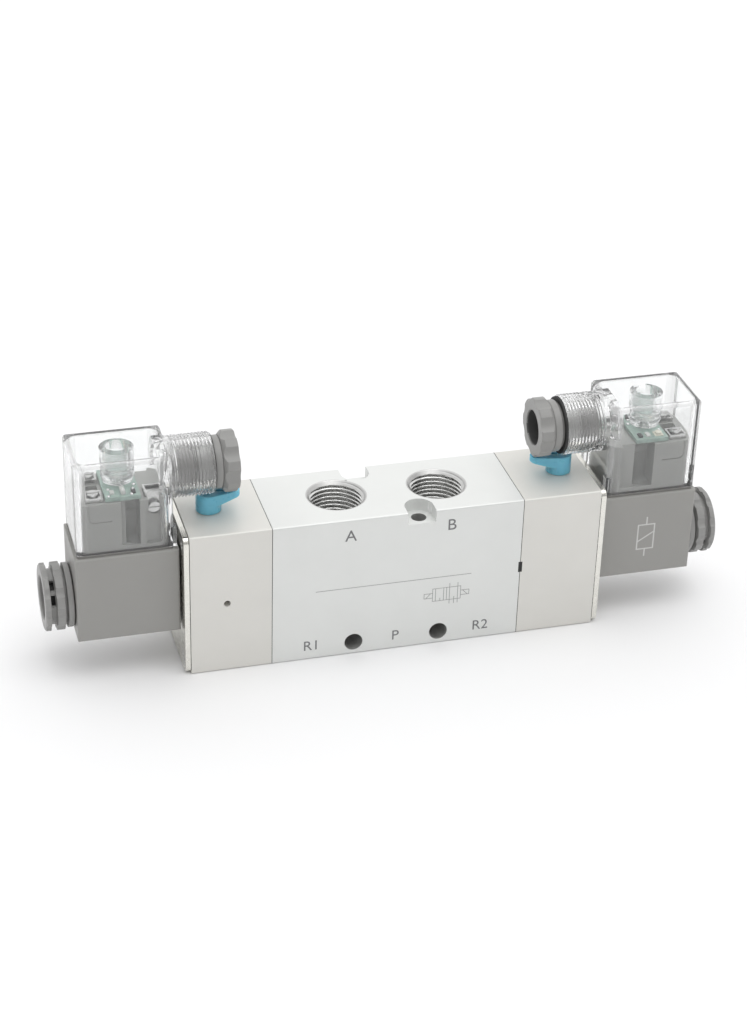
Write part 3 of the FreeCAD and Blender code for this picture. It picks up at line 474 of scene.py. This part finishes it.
COUNTERSINK = turned_metal("countersink", (0.62, 0.62, 0.61), 0.36)
DARK_HOLE_WALL = blasted_alloy("dark_hole_wall", (0.5, 0.5, 0.49), 0.4, 0.45)
GROMMET = rubber("grommet", (0.2, 0.195, 0.19))
# Near-black plastic for the inside of the nut bores: painted shade
BORE_SHADE = moulded_plastic("nut_bore_shade", (0.085, 0.085, 0.083), 0.5)


def finish_of(node):
    return FINISHES[SLOT_OF[node]]


# ---------------------------------------------------------------- valve body

def opened_body():
    """The body with its port bores opened out to take the threaded sleeves."""
    piece = ease(copy_of("valve_body", "valve_body_tapped"), BODY_EASED)
    for port in port_mounts():
        x, mouth, deep = port_line(port)
        low, high = sorted((mouth - SEAT_OVER * deep / abs(deep), mouth + deep))
        cutter = cylinder_z("cutter", x, SLEEVE_R, low, high)
        combine(piece, cutter, "DIFFERENCE")
    stands_for(shade(piece), "valve_body")
    # The walls of the four mounting holes get a darker, more metallic grey
    piece.data.materials.append(DARK_HOLE_WALL)
    for face in piece.data.polygons:
        if in_drilled_hole(face.center / MM, face.normal):
            face.material_index = 1
    return piece


def in_drilled_hole(place, normal):
    """Whether a face of the body is the wall of one of the four mounting holes."""
    across, down = MOUNTS["side_mounting_holes"], MOUNTS["top_mounting_holes"]
    off_side = math.hypot(abs(place.x) - across["dims"]["spacing_x_mm"] / 2,
                          place.z - across["pos_m"][2] / MM)
    off_top = min(math.hypot(place.x - turn * TOP_HOLE_X, place.y - turn * TOP_HOLE_Y)
                  for turn in (1, -1))
    return (abs(normal.y) < WALL_TILT and off_side < across["dims"]["hole_r_mm"] + DRILL_MARGIN
            or abs(normal.z) < WALL_TILT and off_top < down["dims"]["hole_r_mm"] + DRILL_MARGIN)


def port_mounts():
    return [m for m in MOUNTS.values() if m["kind"] == "threaded_hole"]


def port_line(port):
    """x, the height of the mouth and the signed way in, in millimetres."""
    low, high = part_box("valve_body")
    up = port["axis"][2] > 0
    mouth = (high.z if up else low.z) / MM
    end = port["pos_m"][2] / MM - port["axis"][2] * port["dims"]["length_mm"]
    return port["pos_m"][0] / MM, mouth, end - mouth


def cylinder_z(name, x, radius, low, high, columns=96):
    """A closed cylinder along Z on the valve's middle plane."""
    points, faces = [], []
    for z in (low, high):
        for k in range(columns):
            a = 2 * math.pi * k / columns
            points.append((x + radius * math.cos(a), radius * math.sin(a), z))
    faces = [(k, (k + 1) % columns, columns + (k + 1) % columns, columns + k) for k in range(columns)]
    faces += [tuple(reversed(range(columns))), tuple(range(columns, 2 * columns))]
    return mesh_from(name, points, faces)


def thread_wave(turns):
    """0 on the crest and 1 at the root of a V thread with a narrow flat on both."""
    return share(abs((turns % 1.0) * 2 - 1) * 1.3 - 0.15)


def port_thread(port):
    """A ring whose inside is the helical G 3/8 thread, with the countersunk mouth."""
    x, mouth, deep = port_line(port)
    minor = port["dims"]["r_mm"]
    way, depth = deep / abs(deep), abs(deep)

    def inner(inward, angle):
        height = mouth + way * inward
        cone = MOUTH_R - inward * (MOUTH_R - minor) / MOUTH_DEPTH
        fade = share((depth - G38_STOP - inward) / G38_PITCH)
        groove = (G38_MAJOR_R - minor) * fade
        return max(cone, minor + groove * thread_wave(height / G38_PITCH - angle / (2 * math.pi)))

    def outer(inward, angle):
        return SLEEVE_R

    steps = int(depth / G38_PITCH * G38_STEPS)
    rings = [(depth * i / steps, inner) for i in range(steps + 1)]
    rings += [(depth, outer), (0.0, outer)]

    def place(inward, angle, radius):
        return (x + radius * math.cos(angle), radius * math.sin(angle), mouth + way * inward)

    piece = closed_ring(port["name"] + "_thread", rings, columns=96, place=place)
    goes_with(shade(piece), "valve_body", THREAD_CUT)
    piece.data.materials.append(COUNTERSINK)
    for face in piece.data.polygons:
        if abs(face.center.z / MM - mouth) < MOUTH_DEPTH - MOUTH_MARGIN:
            face.material_index = 1
    return piece


# ---------------------------------------------------------------- marks on the front

def mark(text, x, z, height):
    """A printed port letter on the front face."""
    curve = bpy.data.curves.new("mark", "FONT")
    curve.body, curve.size, curve.extrude = text, height / CAPITAL_SHARE * MM, TEXT_RELIEF * MM
    curve.align_x, curve.align_y = "CENTER", "CENTER"
    holder = new_object("mark_" + text, curve)
    graph = bpy.context.evaluated_depsgraph_get()
    mesh = bpy.data.meshes.new_from_object(holder.evaluated_get(graph))
    bpy.data.objects.remove(holder)
    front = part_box("valve_body")[0].y
    mesh.transform(Matrix.Translation((x * MM, front - TEXT_RELIEF * MM, z * MM))
                   @ Matrix.Rotation(math.pi / 2, 4, "X"))
    piece = new_object("mark_" + text, mesh)
    return goes_with(piece, "valve_body", INK)


def ink_lines(name, lines, width, x, z, face_y, node, material):
    """Flat printed strokes: each line is two (x, z) ends in millimetres from the place given."""
    points, faces = [], []
    for (x0, z0), (x1, z1) in lines:
        run = Vector((x1 - x0, z1 - z0))
        step = run.normalized() * width / 2
        side = Vector((-step.y, step.x))
        corners = [Vector((x0, z0)) - step - side, Vector((x1, z1)) + step - side,
                   Vector((x1, z1)) + step + side, Vector((x0, z0)) - step + side]
        first = len(points)
        for y in (face_y - LINE_RELIEF - first * STROKE_STEP, face_y + LINE_SUNK):
            points += [(x + c.x, y, z + c.y) for c in corners]
        faces += [tuple(first + k for k in f) for f in (
            (0, 1, 2, 3), (7, 6, 5, 4), (0, 4, 5, 1), (1, 5, 6, 2), (2, 6, 7, 3), (3, 7, 4, 0))]
    piece = mesh_from(name, points, faces)
    return goes_with(piece, node, material)


def box_lines(x0, x1, z0, z1):
    """The four strokes of a rectangle."""
    a, b, c, d = (x0, z0), (x1, z0), (x1, z1), (x0, z1)
    return [(a, b), (b, c), (c, d), (d, a)]


def valve_symbol():
    """The standard 5/2 double-solenoid symbol: two squares with flow lines and two coil boxes."""
    size, coil, low, high = 4.3, 2.6, 1.2, 2.8
    slant_near, slant_far = 0.6, 2.1
    inset, middle, lead = 0.9, 2.3, 1.3
    lines = box_lines(-size, 0, 0, size) + box_lines(0, size, 0, size)
    lines += box_lines(-size - coil, -size, low, high) + box_lines(size, size + coil, low, high)
    lines += [((-size - slant_far, low), (-size - slant_near, high)),
              ((size + slant_near, high), (size + slant_far, low))]
    for left in (-size, 0):
        lines += [((x, 0), (x, size)) for x in (left + inset, left + size - inset)]
    lines += [((x, 0), (x, inset)) for x in (middle - size, middle)]
    lines += [((x, size), (x, size + lead)) for x in (inset, size - inset)]
    lines += [((x, 0), (x, -lead)) for x in (inset, middle, size - inset)]
    return lines


def front_marks():
    """The port letters, the rule and the valve's symbol on the front."""
    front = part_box("valve_body")[0].y / MM
    for text, (x, z, height) in PORT_MARKS.items():
        mark(text, x, z, height)
    rule = [tuple((x, 0) for x in RULE_X)]
    ink_lines("front_rule", rule, RULE_WIDTH, 0, RULE_Z, front, "valve_body", FAINT_INK)
    ink_lines("front_symbol", valve_symbol(), SYMBOL_WIDTH, SYMBOL_X, SYMBOL_Z, front,
              "valve_body", FAINT_INK)


def coil_symbol():
    """The standard symbol of a solenoid drive: a box with a slanted stroke and its two leads."""
    half_w, half_h, slant, lead_end = 2.6, 4.2, 1.6, 6.6
    return box_lines(-half_w, half_w, -half_h, half_h) + [
        ((-half_w, -slant), (half_w, slant)),
        ((0, half_h), (0, lead_end)), ((0, -half_h), (0, -lead_end))]


def coil_marks():
    """The symbol on the right coil's front, and on the left coil's back, as it is turned round."""
    low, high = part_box("right_coil_case")
    x = (low.x + high.x) / 2 / MM
    for side, turn in (("right", 1), ("left", -1)):
        piece = ink_lines(side + "_coil_symbol", coil_symbol(), COIL_SYMBOL_WIDTH, x,
                          COIL_SYMBOL_Z, low.y / MM, side + "_coil_case", PALE_INK)
        piece.data.transform(Matrix.Rotation(0 if turn > 0 else math.pi, 4, "Z"))


# ---------------------------------------------------------------- clear connector cap

def neck_thread(side):
    """The clear threaded neck as a closed tube, its crests joined along the mould's seams."""
    sign = SIDES[side]
    low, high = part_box(side + "_connector_cap")
    axis_z = high.z / MM - NECK_R
    end = min(abs(low.x), abs(high.x)) / MM
    root = max(abs(low.x), abs(high.x)) / MM - CAP_LENGTH + CAP_WALL / 2
    seams = [math.radians(a) for a in SEAM_ANGLES]

    def outer(out, angle):
        off_seam = min(abs(math.remainder(angle - a, 2 * math.pi)) for a in seams) * NECK_R
        fade = share((off_seam - SEAM_HALF_W) / SEAM_FADE)
        fade *= share((out - end) / NECK_RUNOUT)
        fade *= share((end + NECK_THREAD - out) / NECK_RUNOUT)
        cut = NECK_DEPTH * thread_wave(out / NECK_PITCH - angle / (2 * math.pi))
        rim = RIM_DEPTH * max(0.0, 1 - (out - end) / RIM_LENGTH)
        return NECK_R - cut * fade - rim

    def inner(out, angle):
        return NECK_BORE_R

    steps = int((root - end) / NECK_PITCH * NECK_STEPS)
    rings = [(end + (root - end) * i / steps, outer) for i in range(steps + 1)]
    rings += [(root, inner), (end, inner)]

    def place(out, angle, radius):
        return (sign * out, sign * radius * math.cos(angle), axis_z + radius * math.sin(angle))

    return closed_ring(side + "_neck", rings, columns=144, place=place)


def boss_rings(side):
    """A closed sleeve that stands the moulded rings out of the screw boss."""
    low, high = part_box(side + "_connector_screw")
    centre = (low.x + high.x) / 2 / MM
    first, last = BOSS_RING_Z
    groove_r = BOSS_R - BOSS_SUNK

    def outer(height, angle):
        wave = 0.5 - 0.5 * math.cos(2 * math.pi * (height - first) / BOSS_PITCH)
        return groove_r + (BOSS_RING_R - groove_r) * wave ** BOSS_ROUND

    def inner(height, angle):
        return BOSS_R - BOSS_SLEEVE

    rings = [(first + (last - first) * i / BOSS_STEPS, outer) for i in range(BOSS_STEPS + 1)]
    rings += [(last, inner), (first, inner)]

    def place(height, angle, radius):
        return (centre + radius * math.cos(angle), radius * math.sin(angle), height)

    return closed_ring(side + "_boss_rings", rings, columns=72, place=place)


def box_mesh(name, low, high):
    """A box from its lowest to its highest corner, in millimetres."""
    (x0, y0, z0), (x1, y1, z1) = low, high
    points = [(x, y, z) for z in (z0, z1) for x, y in ((x0, y0), (x1, y0), (x1, y1), (x0, y1))]
    faces = [(3, 2, 1, 0), (4, 5, 6, 7), (0, 1, 5, 4), (1, 2, 6, 5), (2, 3, 7, 6), (3, 0, 4, 7)]
    return mesh_from(name, points, faces)


def connector_cap(side):
    """The clear cap with its plain neck cut away and the threaded one fused on."""
    sign = SIDES[side]
    node = side + "_connector_cap"
    piece = copy_of(node, side + "_cap_clear")
    low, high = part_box(node)
    roof = high.z
    end = min(abs(low.x), abs(high.x)) / MM
    wall = max(abs(low.x), abs(high.x)) / MM - CAP_LENGTH
    x0, x1 = sorted((sign * (end - CUT_PAST), sign * (wall - CUT_SHORT)))
    cutter = box_mesh("cutter", (x0, -CUT_HALF_W, CUT_Z[0]), (x1, CUT_HALF_W, CUT_Z[1]))
    combine(piece, cutter, "DIFFERENCE")
    combine(piece, neck_thread(side), "UNION")
    combine(piece, boss_rings(side), "UNION")
    stands_for(shade(piece, CAP_SHARP), node)
    for finish in (NECK_CLEAR, BOSS_LIGHT, CAP_EDGE_LIGHT):
        piece.data.materials.append(finish)
    low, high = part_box(side + "_connector_screw")
    screw = (low + high) / 2
    for face in piece.data.polygons:
        off_screw = (face.center - screw).to_2d().length
        if abs(face.center.x) < wall * MM:
            face.material_index = 1
        # Below a clear band under the roof, the boss gets the paler, milkier plastic, as painted light
        elif off_screw < (BOSS_RING_R + BOSS_MARGIN) * MM:
            face.material_index = 2 if face.center.z < roof - ROOF_BAND * MM else 0
        # Rounded and slanted faces get the paler, milkier plastic, as painted light on the edges
        elif max(abs(n) for n in face.normal) < FLAT_FACE:
            face.material_index = 3
    return piece


# ---------------------------------------------------------------- finished copies of CAD nodes

def eased(side, part, width):
    """A CAD node's shape with its sharp edges rounded."""
    node = side + "_" + part
    piece = stands_for(shade(ease(copy_of(node, node + "_eased"), width)), node)
    if part in BORES:
        darken_bore(piece, BORES[part])
    return piece


def darken_bore(piece, radius):
    """Painted shade inside the bore of a nut, which runs along X: its inward faces get near-black
    plastic.
    """
    piece.data.materials.append(BORE_SHADE)
    centre = sum((Vector(c) for c in piece.bound_box), Vector()) / 8
    for face in piece.data.polygons:
        spoke = face.center - centre
        spoke.x = 0
        if spoke.length < radius * MM and spoke.normalized().dot(face.normal) < -0.5:
            face.material_index = 1


def nut_shade_sleeve(side):
    """A dark ring inside the coil nut, painted shade that shows through its windows."""
    node = side + "_coil_nut"
    low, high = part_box(node)
    end = max(abs(low.x), abs(high.x)) / MM
    axis_z = (low.z + high.z) / 2 / MM

    def place(inward, angle, radius):
        return (SIDES[side] * (end - inward), radius * math.cos(angle), axis_z + radius * math.sin(angle))

    near, far = SHADE_SLEEVE_FROM_END
    rings = [(depth, lambda inward, angle, r=r: r) for depth, r in (
        (near, SHADE_SLEEVE_R), (far, SHADE_SLEEVE_R), (far, SHADE_SLEEVE_BORE_R), (near, SHADE_SLEEVE_BORE_R))]
    # A thin near-black ring of painted shade, not a part of the nut
    dark_sleeve = closed_ring(side + "_nut_shade_sleeve", rings, columns=64, place=place)
    return goes_with(shade(dark_sleeve), node, FINISHES["seal_rubber"])


def paint_board(side):
    """The parts on the lamp board get finishes of their own, by where each face lies."""
    board = frame["nodes"][side + "_led_board"]
    turn = SIDES[side]
    for finish in (LED_LENS, CHIP_BLACK, CHIP_WHITE):
        board.data.materials.append(finish)
    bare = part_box(side + "_led_board")[1].z - BOARD_PARTS * MM
    for face in board.data.polygons:
        x, y = face.center.x / MM * turn, face.center.y / MM * turn
        if face.center.z < bare:
            continue
        if y < LAMP_Y and x > LAMP_X:
            face.material_index = 1
        elif x < DARK_X:
            face.material_index = 2
        else:
            face.material_index = 3


def solder_joints(side):
    """Domes of solder on the lamp board."""
    turn = SIDES[side]
    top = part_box(side + "_led_board")[1].z / MM - SOLDER_DROP
    columns, rows = SOLDER_COLUMNS, SOLDER_ROWS
    points, faces = [], []
    for x, y, radius in SOLDER_SPOTS:
        first = len(points)
        for i in range(rows):
            lift = math.pi / 2 * i / rows
            for k in range(columns):
                a = 2 * math.pi * k / columns
                points.append((turn * (x + radius * math.cos(lift) * math.cos(a)),
                               turn * (y + radius * math.cos(lift) * math.sin(a)),
                               top + SOLDER_RISE * radius * math.sin(lift)))
        points.append((turn * x, turn * y, top + SOLDER_RISE * radius))
        for i in range(rows - 1):
            for k in range(columns):
                a, b = first + i * columns + k, first + i * columns + (k + 1) % columns
                faces.append((a, b, b + columns, a + columns))
        last = first + (rows - 1) * columns
        faces += [(last + k, last + (k + 1) % columns, first + rows * columns)
                  for k in range(columns)]
        faces.append(tuple(first + k for k in reversed(range(columns))))
    piece = mesh_from(side + "_solder_joints", points, faces)
    return goes_with(shade(piece), side + "_led_board", SOLDER)


def plunger_spring(side):
    """The spring's wire: a copy of the CAD spring in its place, with a mesh of its own."""
    node, joint = side + "_plunger_spring", side + "_plunger_lift"
    low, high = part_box(node)
    spring = copy_of(node, node + "_wire")
    shade(spring)
    stands_for(spring, node)
    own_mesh(spring)


# ---------------------------------------------------------------- stage

def stage_floor():
    """A wide white floor under the valve."""
    corners = [(x * FLOOR_HALF, y * FLOOR_HALF, 0) for x, y in ((-1, -1), (1, -1), (1, 1), (-1, 1))]
    floor = mesh_from("floor", corners, [(0, 1, 2, 3)])
    f = Finish("floor_paint", (0.93, 0.93, 0.935), 0.7)
    f.set("Specular IOR Level", 0.15)
    floor.data.materials.append(f.material)


def studio():
    """A white tent, brightest overhead and a little to the right, and a broad soft key."""
    world = bpy.data.worlds.new("studio")
    bpy.context.scene.world = world
    world.use_nodes = True
    tree = world.node_tree
    direction = tree.nodes.new("ShaderNodeTexCoord")
    lean = tree.nodes.new("ShaderNodeMapping")
    lean.inputs["Rotation"].default_value = (*(math.radians(a) for a in SKY_LEAN), 0)
    split = tree.nodes.new("ShaderNodeSeparateXYZ")
    ramp = tree.nodes.new("ShaderNodeValToRGB")
    for element, (at, level) in zip(ramp.color_ramp.elements, SKY_LEVELS):
        element.position = at
        element.color = (level, level, level, 1)
    tree.links.new(direction.outputs["Generated"], lean.inputs["Vector"])
    tree.links.new(lean.outputs["Vector"], split.inputs["Vector"])
    tree.links.new(split.outputs["Z"], ramp.inputs["Fac"])
    tree.links.new(ramp.outputs["Color"], tree.nodes["Background"].inputs["Color"])
    tree.nodes["Background"].inputs["Strength"].default_value = SKY_STRENGTH
    key = bpy.data.lights.new("key", "SUN")
    key.energy, key.angle = SUN_STRENGTH, math.radians(SUN_SPREAD)
    holder = new_object("key", key)
    holder.rotation_euler = Vector(SUN_WAY).to_track_quat("-Z", "Y").to_euler()


def camera():
    """80 mm lens, 30 degrees above the valve and 16 degrees to the left of its front."""
    azimuth, elevation, roll = math.radians(-16.09), math.radians(30.35), math.radians(1.76)
    target, distance = Vector((-3.74, 0.0, 38.77)) * MM, 668.1 * MM
    back = Vector((math.sin(azimuth) * math.cos(elevation),
                   -math.cos(azimuth) * math.cos(elevation), math.sin(elevation)))
    data = bpy.data.cameras.new("camera")
    data.lens, data.sensor_width = 80.0, 36.0
    data.clip_start, data.clip_end = 0.01, 20.0
    holder = new_object("camera", data)
    level = (-back).to_track_quat("-Z", "Y").to_matrix()
    holder.matrix_world = Matrix.Translation(target + back * distance) @ (
        level @ Matrix.Rotation(roll, 3, "Z")).to_4x4()
    bpy.context.scene.camera = holder


def build():
    """A finish for every CAD node, and every piece that replaces or joins one."""
    for name, node in frame["nodes"].items():
        node.data.materials.clear()
        node.data.materials.append(finish_of(name))
    opened_body()
    for port in port_mounts():
        port_thread(port)
    front_marks()
    coil_marks()
    for side in SIDES:
        connector_cap(side)
        paint_board(side)
        solder_joints(side)
        nut_shade_sleeve(side)
        plunger_spring(side)
        frame["nodes"][side + "_gland_grommet"].data.materials[0] = GROMMET
        for part, width in EASED.items():
            eased(side, part, width)


stage_floor()
studio()
camera()
build()
for kind in ("max_bounces", "transmission_bounces", "transparent_max_bounces"):
    setattr(bpy.context.scene.cycles, kind, LIGHT_BOUNCES)
bpy.context.scene.view_settings.view_transform = "Standard"
